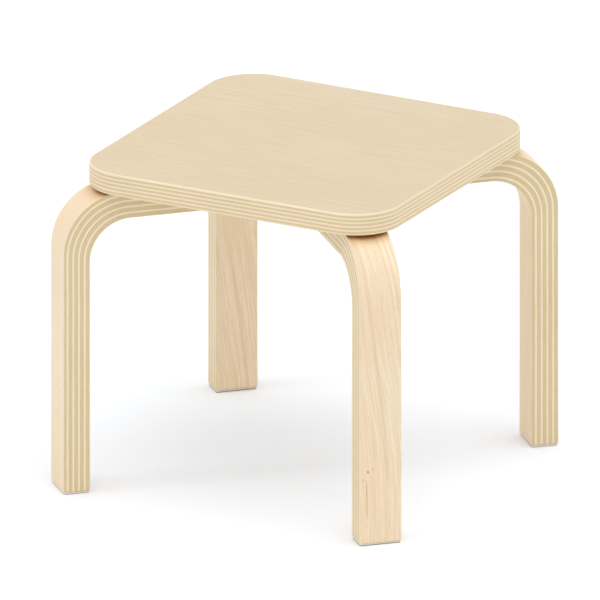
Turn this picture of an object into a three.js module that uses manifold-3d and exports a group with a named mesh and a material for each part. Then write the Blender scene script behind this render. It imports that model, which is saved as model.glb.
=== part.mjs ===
// A child's stacking stool: a plywood seat panel with rounded corners on four bent, laminated legs.
// Each leg is one L-shaped lamination that stands on a corner diagonal, outside the seat's corner,
// and its arm runs inwards under the seat, where two bolts hold it to threaded inserts.
// Lengths are millimetres. +Z is up, the seat's sides lie along X and Y, and -Y is the front.
// The origin is on the floor, under the middle of the seat.

import * as THREE from "three";
import { mergeVertices, toCreasedNormals } from "three/addons/utils/BufferGeometryUtils.js";
import Module from "manifold-3d";

// Seat panel
const stoolHeight = 255.6;
const seatWidth = 260;
const seatDepth = 260.5;
const seatThickness = 17.1;
const seatCornerRadius = 37.2;
const seatEdgeEase = 1.2;

// Legs. A reach is a distance from the stool's centre line, along the corner diagonal.
// The uprights stand off the seat's corners, so that one stool's seat fits between the next one's legs.
// The arm's length runs from the upright's outer face to the arm's free end.
const legStandOff = 5.9;
const legWidth = 33;
const uprightThickness = 21;
const armThickness = 22;
const bendOuterRadius = 48;
const bendInnerRadius = 32;
const armLength = 135.5;
const legArrisEase = 0.8;
const footChamfer = 0.6;

// Bolts that clamp each arm to the seat, with their washers
const boltPitch = 45;
const boltRadius = 3;
const boltHeadRadius = 5.25;
const boltHeadHeight = 3.3;
const boltRimHeight = 0.9;
const boltCrownRadius = 2.9;
const boltTipChamfer = 0.8;
const boltHoleClearance = 0.4;
const socketAcrossFlats = 4;
const socketDepth = 2;
const washerRadius = 6;
const washerThickness = 1.6;
const counterboreDepth = 8;
const counterboreClearance = 0.6;

// Threaded inserts in the underside of the seat
const insertRadius = 4.5;
const insertRidgeHeight = 0.7;
const insertLength = 10;
const insertRidges = 3;
const insertEndSpace = 1;
const boltEngagementShare = 0.9;
const ridgeCrestShare = 0.4;

// Foot pads and the countersunk screw that holds each one
const padThickness = 1.7;
const padInset = 0.6;
const padCornerRadius = 1;
const padEdgeEase = 0.3;
const screwLength = 16;
const screwRadius = 1.5;
const screwHeadRadius = 3;
const screwHeadHeight = 1.4;
const screwHeadRim = 0.2;
const screwHeadSink = 0.3;
const screwTipLength = 3;
const screwHoleEndSpace = 1;
const recessLength = 3.2;
const recessWidth = 0.7;
const recessDepth = 0.8;

// Air between pieces that touch or thread together, and how far a cutter runs past a face
const fitGap = 0.3;
const cutOverrun = 1;

// Steps in a quarter turn of the corners and bends, in an eased edge, in a bolt head's dome,
// and in a full turn of the hardware
const cornerSteps = 12;
const bendSteps = 16;
const padCornerSteps = 4;
const easeSteps = 2;
const domeSteps = 3;
const hardwareSteps = 16;
const hexagonSides = 6;
const smoothingAngle = THREE.MathUtils.degToRad(35);

// Corners in the order of their turn about +Z, a quarter turn apart, from the first diagonal
const cornerNames = ["back_right", "back_left", "front_left", "front_right"];
const quarterTurn = Math.PI / 2;
const firstDiagonal = Math.PI / 4;

// Heights and reaches that follow from the sizes above
const seatBottom = stoolHeight - seatThickness;
const armTop = seatBottom - fitGap;
const armUnderside = armTop - armThickness;
const legBottom = padThickness + fitGap;
const seatCornerReach =
  (seatWidth / 2 + seatDepth / 2 - 2 * seatCornerRadius) * Math.SQRT1_2 + seatCornerRadius;
const uprightInnerReach = seatCornerReach + legStandOff;
const legReach = uprightInnerReach + uprightThickness;
const armEndReach = legReach - armLength;
const armFlatEndReach = uprightInnerReach - bendInnerRadius;
const armMiddleReach = (armEndReach + armFlatEndReach) / 2;
const boltPlaces = [
  { place: "inner", reach: armMiddleReach - boltPitch / 2 },
  { place: "outer", reach: armMiddleReach + boltPitch / 2 },
];
const counterboreFloor = armUnderside + counterboreDepth;
const washerTop = counterboreFloor - fitGap;
const headTop = washerTop - washerThickness - fitGap;
const boltTip = seatBottom + insertLength * boltEngagementShare;
const insertHoleRadius = insertRadius + fitGap;
const insertHoleTop = seatBottom + insertLength + insertEndSpace;
const padCentreReach = legReach - uprightThickness / 2;

const woodFace = new THREE.MeshStandardMaterial({ color: 0xe5d5b7, roughness: 0.55, metalness: 0 });
const legVeneer = new THREE.MeshStandardMaterial({ color: 0xefd9b9, roughness: 0.55, metalness: 0 });
const zincSteel = new THREE.MeshStandardMaterial({ color: 0xb9bec3, roughness: 0.35, metalness: 1 });
const insertMetal = new THREE.MeshStandardMaterial({ color: 0xb59a5f, roughness: 0.4, metalness: 1 });
const nylon = new THREE.MeshStandardMaterial({ color: 0xd9d7d1, roughness: 0.5, metalness: 0 });

const wasm = await Module();
wasm.setup();

/** A closed geometry as a solid that can be joined and cut. */
function solidOf(geometry) {
  const bare = geometry.clone();
  bare.deleteAttribute("normal");
  bare.deleteAttribute("uv");
  const merged = mergeVertices(bare);
  const corners = merged.index.array;
  const triVerts = [];
  for (let i = 0; i < corners.length; i += 3) {
    const [a, b, c] = corners.subarray(i, i + 3);
    const collapsed = a === b || b === c || c === a;
    if (!collapsed) triVerts.push(a, b, c);
  }
  const vertProperties = merged.attributes.position.array;
  return new wasm.Manifold(
    new wasm.Mesh({ numProp: 3, vertProperties, triVerts: new Uint32Array(triVerts) }),
  );
}

/** A solid as a geometry, smooth across shallow edges and sharp across the others. */
function geometryOf(solid) {
  const { vertProperties, triVerts } = solid.getMesh();
  const geometry = new THREE.BufferGeometry();
  geometry.setAttribute("position", new THREE.BufferAttribute(vertProperties, 3));
  geometry.setIndex(new THREE.BufferAttribute(triVerts, 1));
  return toCreasedNormals(geometry, smoothingAngle);
}

/** One geometry less a list of others. */
function cut(geometry, cutters) {
  return geometryOf(cutters.reduce((left, cutter) => left.subtract(solidOf(cutter)), solidOf(geometry)));
}

/** An outline pushed up from z = 0, with every edge of its two faces eased. */
function easedPrism(outline, thickness, ease, arcSteps) {
  const geometry = new THREE.ExtrudeGeometry(outline, {
    depth: thickness - 2 * ease,
    bevelEnabled: true,
    bevelThickness: ease,
    bevelSize: ease,
    bevelOffset: -ease,
    bevelSegments: easeSteps,
    curveSegments: arcSteps / 2,
  });
  return geometry.translate(0, 0, ease);
}

/** A rectangle about the origin whose corners are quarter circles. */
function roundedRectangle(width, depth, radius) {
  const x = width / 2 - radius;
  const y = depth / 2 - radius;
  const outline = new THREE.Shape();
  outline.absarc(x, y, radius, 0, quarterTurn);
  outline.absarc(-x, y, radius, quarterTurn, 2 * quarterTurn);
  outline.absarc(-x, -y, radius, 2 * quarterTurn, 3 * quarterTurn);
  outline.absarc(x, -y, radius, 3 * quarterTurn, 4 * quarterTurn);
  return outline;
}

/** An upright cylinder about the Z axis. */
function cylinder(radius, bottom, top, sides = hardwareSteps) {
  const geometry = new THREE.CylinderGeometry(radius, radius, top - bottom, sides);
  return geometry.rotateX(quarterTurn).translate(0, 0, (top + bottom) / 2);
}

/** A profile of [radius, height] pairs, listed upwards along its outside, turned about the Z axis. */
function turned(profile) {
  const points = profile.map(([radius, height]) => new THREE.Vector2(radius, height));
  return new THREE.LatheGeometry(points, hardwareSteps).rotateX(quarterTurn);
}

/** The seat: a rounded panel with a blind hole for every insert in its underside. */
function seatPanel() {
  const outline = roundedRectangle(seatWidth, seatDepth, seatCornerRadius);
  const panel = easedPrism(outline, seatThickness, seatEdgeEase, cornerSteps);
  panel.translate(0, 0, seatBottom);
  const holes = cornerNames.flatMap((_, corner) => {
    const angle = firstDiagonal + corner * quarterTurn;
    return boltPlaces.map(({ reach }) =>
      cylinder(insertHoleRadius, seatBottom - cutOverrun, insertHoleTop)
        .translate(reach * Math.cos(angle), reach * Math.sin(angle), 0),
    );
  });
  return cut(panel, holes);
}

/** The leg's side view, reach across and height up: a foot, an upright, a bend and an arm. */
function legOutline() {
  const outline = new THREE.Shape();
  outline.moveTo(uprightInnerReach + footChamfer, legBottom);
  outline.lineTo(legReach - footChamfer, legBottom);
  outline.lineTo(legReach, legBottom + footChamfer);
  outline.absarc(legReach - bendOuterRadius, armTop - bendOuterRadius, bendOuterRadius, 0, quarterTurn);
  outline.lineTo(armEndReach, armTop);
  outline.lineTo(armEndReach, armUnderside);
  outline.absarc(armFlatEndReach, armUnderside - bendInnerRadius, bendInnerRadius, quarterTurn, 0, true);
  outline.lineTo(uprightInnerReach, legBottom + footChamfer);
  return outline;
}

/** A leg on the +X side: its bent lamination, with two counterbored bolt holes and a screw hole. */
function leg() {
  const lamination = easedPrism(legOutline(), legWidth, legArrisEase, bendSteps);
  lamination.rotateX(quarterTurn).translate(0, legWidth / 2, 0);
  const cutters = boltPlaces.flatMap(({ reach }) => [
    cylinder(boltRadius + boltHoleClearance, armUnderside, armTop + cutOverrun).translate(reach, 0, 0),
    cylinder(washerRadius + counterboreClearance, armUnderside - cutOverrun, counterboreFloor)
      .translate(reach, 0, 0),
  ]);
  return cut(lamination, [...cutters, screwSpace().translate(padCentreReach, 0, 0)]);
}

/** A socket screw, head down: a domed head with a hexagonal socket, and a shank with an eased tip. */
function bolt() {
  const headBottom = headTop - boltHeadHeight;
  const domeHeight = boltHeadHeight - boltRimHeight;
  const dome = Array.from({ length: domeSteps + 1 }, (_, step) => {
    const angle = quarterTurn * step / domeSteps;
    const radius = boltCrownRadius + (boltHeadRadius - boltCrownRadius) * Math.sin(angle);
    return [radius, headBottom + domeHeight * (1 - Math.cos(angle))];
  });
  const blank = turned([
    [0, headBottom],
    ...dome,
    [boltHeadRadius, headTop],
    [boltRadius, headTop],
    [boltRadius, boltTip - boltTipChamfer],
    [boltRadius - boltTipChamfer, boltTip],
    [0, boltTip],
  ]);
  const socketRadius = socketAcrossFlats / Math.sqrt(3);
  const socket = cylinder(socketRadius, headBottom - cutOverrun, headBottom + socketDepth, hexagonSides);
  return cut(blank, [socket]);
}

/** A flat ring under the bolt's head. */
function washer() {
  const bore = boltRadius + fitGap;
  const bottom = washerTop - washerThickness;
  return turned([
    [bore, bottom],
    [washerRadius, bottom],
    [washerRadius, washerTop],
    [bore, washerTop],
    [bore, bottom],
  ]);
}

/** A bush threaded inside for the bolt, with coarse ridges outside that bite into the seat. */
function threadedInsert() {
  const bore = boltRadius + fitGap;
  const core = insertRadius - insertRidgeHeight;
  const pitch = insertLength / insertRidges;
  const ridges = Array.from({ length: insertRidges }, (_, ridge) => {
    const bottom = seatBottom + ridge * pitch;
    const crest = pitch * ridgeCrestShare / 2;
    const middle = bottom + pitch / 2;
    return [
      [core, bottom],
      [insertRadius, middle - crest],
      [insertRadius, middle + crest],
    ];
  });
  return turned([
    [bore, seatBottom],
    ...ridges.flat(),
    [core, seatBottom + insertLength],
    [bore, seatBottom + insertLength],
    [bore, seatBottom],
  ]);
}

/** The side of the screw between its head's flat face and its tip, grown outwards by an amount. */
function screwProfile(growth) {
  const coneBottom = screwHeadSink + screwHeadRim;
  const tip = screwHeadSink + screwLength;
  return [
    [screwHeadRadius + growth, coneBottom],
    [screwRadius + growth, coneBottom + screwHeadHeight],
    [screwRadius + growth, tip - screwTipLength],
  ];
}

/** A countersunk wood screw, head down, with a cross recess. */
function footScrew() {
  const blank = turned([
    [0, screwHeadSink],
    [screwHeadRadius, screwHeadSink],
    ...screwProfile(0),
    [0, screwHeadSink + screwLength],
  ]);
  const slot = new THREE.BoxGeometry(recessLength, recessWidth, 2 * recessDepth);
  slot.translate(0, 0, screwHeadSink);
  return cut(blank, [slot, slot.clone().rotateZ(quarterTurn)]);
}

/** The space that the screw takes from the pad and the leg, with its air gap and its end space. */
function screwSpace() {
  const top = screwHeadSink + screwLength + screwHoleEndSpace;
  return turned([
    [0, -cutOverrun],
    [screwHeadRadius + fitGap, -cutOverrun],
    ...screwProfile(fitGap),
    [screwRadius + fitGap, top],
    [0, top],
  ]);
}

/** A thin rectangular glide under the foot, a little smaller than the leg's end. */
function footPad() {
  const outline = roundedRectangle(uprightThickness - 2 * padInset, legWidth - 2 * padInset, padCornerRadius);
  return cut(easedPrism(outline, padThickness, padEdgeEase, padCornerSteps), [screwSpace()]);
}

/** A named mesh, moved outwards along +X. */
function piece(name, geometry, material, reach = 0) {
  const mesh = new THREE.Mesh(geometry, material);
  mesh.name = name;
  mesh.position.x = reach;
  return mesh;
}

/** Everything that stands on one corner diagonal, as a group turned to it. */
function cornerAssembly(corner, shapes) {
  const name = cornerNames[corner];
  const group = new THREE.Group();
  group.rotation.z = firstDiagonal + corner * quarterTurn;
  group.add(piece(`leg_${name}`, shapes.leg, legVeneer));
  group.add(piece(`foot_pad_${name}`, shapes.footPad, nylon, padCentreReach));
  group.add(piece(`foot_screw_${name}`, shapes.footScrew, zincSteel, padCentreReach));
  for (const { place, reach } of boltPlaces) {
    group.add(piece(`seat_bolt_${name}_${place}`, shapes.bolt, zincSteel, reach));
    group.add(piece(`washer_${name}_${place}`, shapes.washer, zincSteel, reach));
    group.add(piece(`threaded_insert_${name}_${place}`, shapes.threadedInsert, insertMetal, reach));
  }
  return group;
}

const stool = new THREE.Group();
stool.add(piece("seat_panel", seatPanel(), woodFace));
const cornerShapes = {
  leg: leg(),
  footPad: footPad(),
  footScrew: footScrew(),
  bolt: bolt(),
  washer: washer(),
  threadedInsert: threadedInsert(),
};
cornerNames.forEach((_, corner) => stool.add(cornerAssembly(corner, cornerShapes)));

export default stool;
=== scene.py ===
"""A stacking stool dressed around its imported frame: a plywood seat on four bent, laminated legs.

Lengths are metres. +Z is up, the seat's sides lie along X and Y, -Y is the front, and the origin is on
the floor under the middle of the seat. Whatever stands on a corner diagonal is built along +X, with x
its reach from the stool's centre line and y across it, and is then turned to its corner.
"""

import logging
import math
from dataclasses import dataclass
from enum import Enum
from functools import cache
from typing import Callable, ClassVar

import bpy
import numpy as np
from mathutils import Matrix, Vector, geometry


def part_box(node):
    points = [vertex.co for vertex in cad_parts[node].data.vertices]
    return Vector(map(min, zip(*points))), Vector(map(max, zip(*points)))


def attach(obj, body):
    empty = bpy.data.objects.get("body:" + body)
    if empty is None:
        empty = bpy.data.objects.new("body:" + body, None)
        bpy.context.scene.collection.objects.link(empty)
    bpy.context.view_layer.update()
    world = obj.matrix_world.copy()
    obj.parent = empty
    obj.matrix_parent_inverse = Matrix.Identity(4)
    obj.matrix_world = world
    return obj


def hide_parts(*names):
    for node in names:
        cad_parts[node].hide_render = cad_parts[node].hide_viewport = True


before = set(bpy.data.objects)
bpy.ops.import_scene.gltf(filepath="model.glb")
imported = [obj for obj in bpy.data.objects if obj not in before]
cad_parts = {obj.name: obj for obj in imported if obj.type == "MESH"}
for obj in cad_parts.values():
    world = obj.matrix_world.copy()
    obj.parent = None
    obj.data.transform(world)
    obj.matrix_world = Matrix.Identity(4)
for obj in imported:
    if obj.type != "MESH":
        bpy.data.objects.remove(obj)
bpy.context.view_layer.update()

log = logging.getLogger("stacking_stool")

Array = np.ndarray
Tone = tuple[int, int, int]
Triple = tuple[float, float, float]
Span = tuple[float, float]
Guide = Callable[[Array], Array]
Feed = bpy.types.NodeSocket | float | tuple

MM = 0.001
QUARTERS = 4
QUARTER = math.pi / 2
TURN = QUARTERS * QUARTER
UP = (0.0, 0.0, 1.0)
DOWN = (0.0, 0.0, -1.0)
INWARD = (-1.0, 0.0, 0.0)
BODY = "root"
SEAT_NODE = "seat_panel"
GRAIN = "grain"
FACE, EDGE = 0, 1
SHEET_STEP = 0.7
HALF_PLY = 0.5
CURVE_KNEE, CURVE_SLOPE, CURVE_SHIFT, CURVE_POWER = 0.04045, 12.92, 0.055, 2.4


class Corner(Enum):
    """The four corners, each with the turn of its diagonal about +Z, in degrees."""

    BACK_RIGHT = 45
    BACK_LEFT = 135
    FRONT_LEFT = 225
    FRONT_RIGHT = 315

    @property
    def title(self) -> str:
        """The corner's name as the nodes spell it."""
        return self.name.lower()

    @property
    def turn(self) -> float:
        """The corner diagonal's turn in radians."""
        return math.radians(self.value)

    @property
    def sheet_start(self) -> float:
        """Where the leg's grain starts along the veneer sheet that all four legs are cut from."""
        return SHEET_STEP * list(Corner).index(self)


class BoltPlace(Enum):
    """The two bolts of an arm, by their place along it."""

    INNER = "inner"
    OUTER = "outer"


class Node:
    """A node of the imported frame: its box, its radius if it is round, and its reach."""

    def __init__(self, name: str) -> None:
        """Reads the node's box."""
        self.name = name
        self.low, self.high = (np.array(corner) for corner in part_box(name))
        self.bottom, self.top = float(self.low[2]), float(self.high[2])
        self.size, self.middle = self.high - self.low, (self.low + self.high) / 2
        self.radius = float(self.size[0]) / 2
        self.reach = float(np.hypot(*self.middle[:2]))


def linear(tone: Tone) -> tuple[float, ...]:
    """A colour as a screen shows it, in linear light.

    By the screens' standard curve, a value up to the knee is divided by the slope. One above it has the
    shift added, is divided by 1 plus the shift, and is raised to the power.

    Args:
        tone: The colour, each part from 0 to 255.

    Returns:
        The linear red, green and blue, from 0 to 1, and an opacity of 1.
    """
    shown = np.array(tone) / 255
    curved = ((shown + CURVE_SHIFT) / (1 + CURVE_SHIFT)) ** CURVE_POWER
    return (*np.where(shown <= CURVE_KNEE, shown / CURVE_SLOPE, curved).tolist(), 1.0)


def rays(turn: Array) -> Array:
    """The cosines and sines of turns, as rows."""
    return np.stack([np.cos(turn), np.sin(turn)], axis=1)


def even_rays(steps: int) -> Array:
    """The cosines and sines of even steps round a whole turn."""
    return rays(np.arange(steps) * TURN / steps)


def corner_rays(steps: int) -> tuple[Array, Array]:
    """The quarter circles at a rectangle's four corners, counter-clockwise from the turn 0.

    Args:
        steps: How many steps each one has.

    Returns:
        The cosines and sines of their points, and the signs of x and y at each point's corner.
    """
    starts = QUARTER * np.arange(QUARTERS)
    turn = starts[:, None] + np.linspace(0, QUARTER, steps + 1)
    middle = np.repeat(starts + QUARTER / 2, steps + 1)
    return rays(turn.ravel()), np.sign(rays(middle))


def towards(azimuth: float, elevation: float) -> Vector:
    """The way to a place in the sky, in degrees. Azimuth 0 is the front, and it grows to the right."""
    around, above = math.radians(azimuth), math.radians(elevation)
    flat = Vector((math.sin(around), -math.cos(around), 0.0)) * math.cos(above)
    return flat + Vector(UP) * math.sin(above)


def put(name: str, data: bpy.types.ID) -> bpy.types.Object:
    """Adds an object to the scene.

    Args:
        name: The object's name.
        data: Its mesh, lamp or camera.

    Returns:
        The object.
    """
    added = bpy.data.objects.new(name, data)
    bpy.context.scene.collection.objects.link(added)
    return added


@dataclass(frozen=True)
class Outline:
    """A closed plan outline, counter-clockwise. A sharp corner is listed twice, once for each side."""

    points: Array
    mitres: Array
    normals: Array
    repeats: int = 1

    @classmethod
    def circle(cls, radius: float, steps: int, x: float = 0.0, y: float = 0.0) -> "Outline":
        """A circle about (x, y): centre + radius * (cos, sin) of the turn."""
        normals = even_rays(steps)
        return cls(np.array([x, y]) + radius * normals, normals, normals)

    @classmethod
    def rounded(cls, width: float, depth: float, radius: float, steps: int, x: float = 0.0) -> "Outline":
        """A rectangle with quarter circles at its corners: inner corner + radius * (cos, sin).

        Args:
            width: Its size along X.
            depth: Its size along Y.
            radius: The corners' radius.
            steps: How many steps each corner has.
            x: The centre's place along X.

        Returns:
            The outline.
        """
        normals, signs = corner_rays(steps)
        inner = signs * np.array([width / 2 - radius, depth / 2 - radius]) + np.array([x, 0.0])
        return cls(inner + radius * normals, normals, normals)

    @classmethod
    def cornered(cls, points: Array) -> "Outline":
        """Straight sides between sharp corners: a corner takes the normals of the sides that meet there.

        Its mitre, along which it moves for an inset, is (before + after) / (1 + before . after).

        Args:
            points: The corners, counter-clockwise, as rows of x and y.

        Returns:
            The outline, with each corner twice.
        """
        sides = np.roll(points, -1, axis=0) - points
        after = np.stack([sides[:, 1], -sides[:, 0]], axis=1) / np.linalg.norm(sides, axis=1)[:, None]
        before = np.roll(after, 1, axis=0)
        mitres = (before + after) / (1 + (before * after).sum(axis=1))[:, None]
        normals = np.stack([before, after], axis=1).reshape(-1, 2)
        return cls(np.repeat(points, 2, axis=0), np.repeat(mitres, 2, axis=0), normals, 2)

    def ring(self, inset: float, height: float) -> Array:
        """The inset outline at a height, each corner once, for the edge of a flat face."""
        flat = (self.points - inset * self.mitres)[:: self.repeats]
        return np.column_stack([flat, np.full(len(flat), height)])


class Profile:
    """A side view walked with the material on the left: rows of inset, height and the normal's tilt."""

    def __init__(self, inset: float, height: float) -> None:
        """Starts at a point, given by its inset from the outline and its height."""
        self.at = (inset, height)
        self.rows: list[Array] = []

    @classmethod
    def eased(cls, bottom: float, top: float, ease: float, steps: int) -> "Profile":
        """The side of a slab whose two edges are quarter circles."""
        side = cls(ease, bottom).arc(ease, ease, -QUARTER, 0, steps)
        return side.to(0, top - ease).arc(ease, ease, 0, QUARTER, steps)

    def to(self, inset: float, height: float) -> "Profile":
        """Adds a straight line, whose normal is at a right angle to it.

        Args:
            inset: The end's inset.
            height: The end's height.

        Returns:
            The profile itself.
        """
        start, self.at = self.at, (inset, height)
        tilt = math.atan2(inset - start[0], height - start[1])
        self.rows.append(np.array([[*start, tilt], [*self.at, tilt]]))
        return self

    def arc(self, across: float, along: float, start: float, end: float, steps: int) -> "Profile":
        """Adds part of an ellipse: inset - across * cos(turn) and height + along * sin(turn).

        Args:
            across: The ellipse's half size across, towards the outline.
            along: Its half height.
            start: The turn that it starts at, 0 pointing outwards and a quarter turn pointing up.
            end: The turn that it ends at, which is larger.
            steps: How many steps it has.

        Returns:
            The profile itself.
        """
        turn = np.linspace(start, end, steps + 1)
        inset = self.at[0] + across * (math.cos(start) - np.cos(turn))
        height = self.at[1] + along * (np.sin(turn) - math.sin(start))
        tilt = np.arctan2(np.sin(turn) / along, np.cos(turn) / across)
        self.rows.append(np.column_stack([inset, height, tilt]))
        self.at = (float(inset[-1]), float(height[-1]))
        return self


@cache
def made(finish: "Finish") -> bpy.types.Material:
    """A finish's material, made the first time that a piece wears it."""
    return finish.material()


class Patchwork:
    """A node's dressed piece, sewn from patches that share the points of their common edges."""

    WELD = 1e-7
    PLACE, NORMAL, ALONG = slice(0, 3), slice(3, 6), slice(6, 9)

    def __init__(self, node: str) -> None:
        """Starts an empty body that is to stand for a node."""
        self.node = node
        self.corners: list[Array] = []
        self.slots: list[Array] = []

    def add(self, corners: Array, slots: Array) -> None:
        """Keeps faces of four corners, each its place, normal and grain, and each face's finish."""
        self.corners.append(corners)
        self.slots.append(slots.astype(np.int32))

    def grid(self, places: Array, normals: Array, slot: Array | int = 0, grain: Array | None = None,
             kept: Array | None = None) -> None:
        """Adds the quads of a grid whose columns close on themselves.

        Args:
            places: The points, rows by columns by 3.
            normals: The surface's normals there.
            slot: The finish of every quad, or of each column of quads.
            grain: The grain coordinates there, if the piece has them.
            kept: Which quads are kept, if some are left out.
        """
        grain = np.zeros_like(places) if grain is None else grain
        data = np.concatenate([places, normals, grain], axis=2)
        beside = np.roll(data, -1, axis=1)
        quads = np.stack([data[:-1], beside[:-1], beside[1:], data[1:]], axis=2)
        kept = np.ones(quads.shape[:2], bool) if kept is None else kept
        slots = np.broadcast_to(np.asarray(slot), quads.shape[:2])
        self.add(quads[kept], slots[kept])

    def loft(self, outline: Outline, profile: Profile, slot: int = 0, guide: Guide | None = None) -> None:
        """Adds the surface that an outline sweeps as it is inset and lifted along a profile.

        Its points are the inset outline at each height, and its normals are the outline's plan normal
        times the tilt's cosine, plus +Z times its sine.

        Args:
            outline: The plan outline.
            profile: The side view.
            slot: The finish that it takes.
            guide: Gives the grain coordinates of points, if the piece has them.
        """
        inset, height, tilt = np.concatenate(profile.rows).T[:, :, None, None]
        plan = outline.points - inset * outline.mitres
        shape = (*plan.shape[:2], 1)
        places = np.concatenate([plan, np.broadcast_to(height, shape)], axis=2)
        upright = np.broadcast_to(np.sin(tilt), shape)
        normals = np.concatenate([outline.normals * np.cos(tilt), upright], axis=2)
        self.grid(places, normals, slot, guide(places) if guide else None)

    def flat(self, rings: list[Array], normal: Triple, slot: int = 0, guide: Guide | None = None) -> None:
        """Adds a flat face, cut into triangles, with a hole for every ring after the first.

        Args:
            rings: The edge and then the holes, as points in one plane.
            normal: The face's normal.
            slot: The finish that it takes.
            guide: Gives the grain coordinates of points, if the piece has them.
        """
        found = geometry.tessellate_polygon([list(map(Vector, ring)) for ring in rings])
        triangles = np.concatenate(rings)[np.array(found)]
        places = np.concatenate([triangles, triangles[:, -1:]], axis=1)
        normals = np.broadcast_to(np.array(normal), places.shape)
        grain = guide(places) if guide else np.zeros_like(places)
        self.add(np.concatenate([places, normals, grain], axis=2), np.full(len(places), slot))

    def recess(self, rim: Array, hole: Outline, bottom: float, depth: float) -> None:
        """Adds the flat underside of a screw's head, with the recess for the tool in it.

        Args:
            rim: The underside's edge.
            hole: The recess's outline.
            bottom: The underside's height.
            depth: How far up the recess goes.
        """
        floor = bottom + depth
        self.loft(hole, Profile(0, floor).to(0, bottom))
        self.flat([hole.ring(0, floor)], DOWN)
        self.flat([rim, hole.ring(0, bottom)], DOWN)

    def build(self, finishes: "list[Finish]", slot: str, turn: float = 0.0) -> None:
        """Welds the patches into one mesh that stands for the node, on the stool's one body.

        Corners closer than the weld become one, and a face that has fewer than three left is dropped. The
        faces point outwards, the normals are the patches' own, and the grain coordinates are kept.

        Args:
            finishes: The finishes, in the order of the faces' slots.
            slot: The record's material slot that they come from; it is not used.
            turn: The turn about +Z that takes the piece to its corner, in radians.
        """
        data = np.concatenate(self.corners)
        spin = np.array(Matrix.Rotation(turn, 3, "Z")).T
        for part in (self.PLACE, self.NORMAL):
            data[..., part] = data[..., part] @ spin
        diagonals = data[:, 2:, self.PLACE] - data[:, :2, self.PLACE]
        across = np.cross(diagonals[:, 0], diagonals[:, 1])
        facing = (across * data[..., self.NORMAL].mean(axis=1)).sum(axis=1)
        data = np.where((facing < 0)[:, None, None], data[:, ::-1], data)

        points = data[..., self.PLACE].reshape(-1, 3)
        keys = np.round(points / self.WELD).astype(np.int64)
        _, first, found = np.unique(keys, axis=0, return_index=True, return_inverse=True)
        ids = found.reshape(-1, 4)
        kept = ids != np.roll(ids, 1, axis=1)
        kept &= (kept.sum(axis=1) >= 3)[:, None]
        sizes = kept.sum(axis=1)
        whole = sizes > 0
        starts = np.cumsum(sizes[whole]) - sizes[whole]

        name = f"{self.node}_dressed"
        mesh = bpy.data.meshes.new(name)
        mesh.vertices.add(len(first))
        mesh.vertices.foreach_set("co", points[first].astype(np.float32).ravel())
        mesh.loops.add(int(kept.sum()))
        mesh.loops.foreach_set("vertex_index", ids[kept].astype(np.int32))
        mesh.polygons.add(int(whole.sum()))
        mesh.polygons.foreach_set("loop_start", starts.astype(np.int32))
        mesh.polygons.foreach_set("material_index", np.concatenate(self.slots)[whole])
        mesh.polygons.foreach_set("use_smooth", np.ones(int(whole.sum()), bool))
        grain = mesh.attributes.new(GRAIN, "FLOAT_VECTOR", "CORNER")
        grain.data.foreach_set("vector", data[..., self.ALONG][kept].astype(np.float32).ravel())
        mesh.update(calc_edges=True)
        mesh.normals_split_custom_set(data[..., self.NORMAL][kept])
        for finish in finishes:
            mesh.materials.append(made(finish))
        piece = put(name, mesh)
        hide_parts(self.node)
        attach(piece, BODY)
        log.info("%s: %d points, %d faces", name, len(first), int(whole.sum()))


@dataclass(frozen=True)
class Noise:
    """Smooth noise: its features to a metre along each axis, its finer octaves and their strength."""

    scale: Triple
    detail: float = 2.0
    roughness: float = 0.5


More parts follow.
